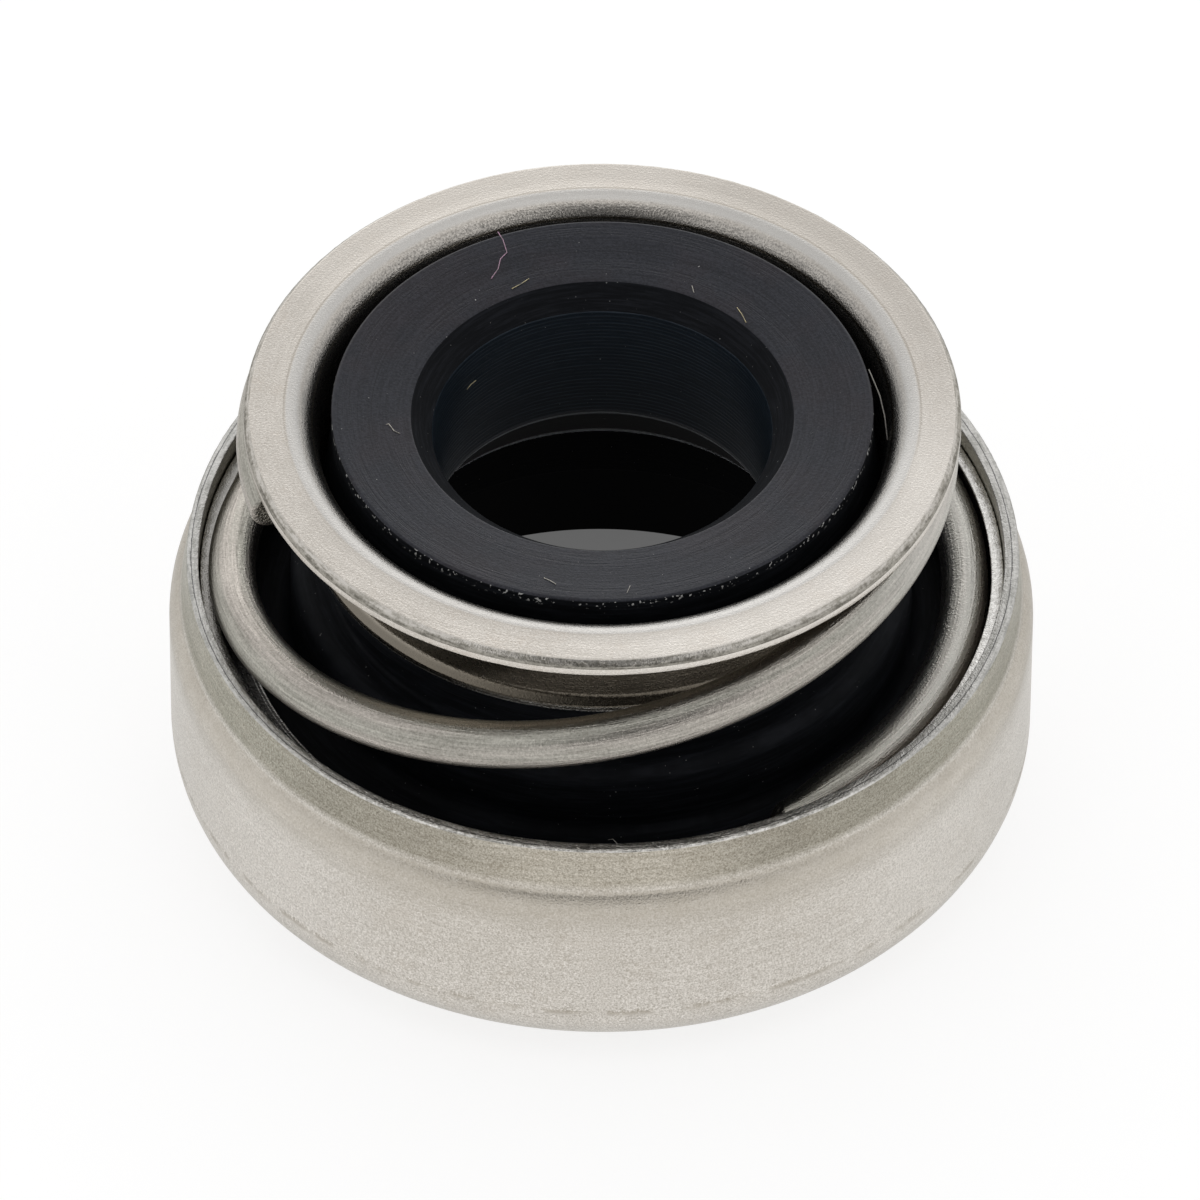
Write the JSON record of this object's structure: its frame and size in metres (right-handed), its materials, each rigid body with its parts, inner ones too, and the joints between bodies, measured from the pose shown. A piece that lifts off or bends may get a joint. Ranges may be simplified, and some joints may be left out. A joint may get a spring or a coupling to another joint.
{
  "type": "mechanical seal",
  "caption": "Rotary unit of a rubber-bellows shaft seal: pressed metal cup with a sealing ring, open coil spring, and a flanged holder gripping the rubber tail.",
  "frame": {"origin": "centre of the sealing face, on the shaft axis", "axes": "+Z along the shaft axis, from the sealing face towards the holder's flange; +X to the right of the pictured side"},
  "size_m": [0.04, 0.04, 0.0226],
  "materials": {
    "pressed_steel": "satin, tumbled after pressing",
    "seat_steel": "satin",
    "carbon": "lapped sealing carbon",
    "rubber": "moulded nitrile rubber, fine turning lines on the end face",
    "spring_wire": "drawn wire",
    "holder_steel": "satin, tumbled after pressing"
  },
  "bodies": {
    "head": {"shell": "pressed_steel", "spring_seat": "seat_steel", "primary_ring": "carbon", "bellows": "rubber", "spring": "spring_wire"},
    "holder": {"spring_holder": "holder_steel", "bellows_tail": "rubber"}
  },
  "joints": [
    {"name": "compression", "type": "slide", "parent": "head", "child": "holder", "axis": [0, 0, 1], "range_m": [-0.0035, 0], "stiffness_N_per_m": 8000, "deforming": ["spring", "bellows"]}
  ]
}
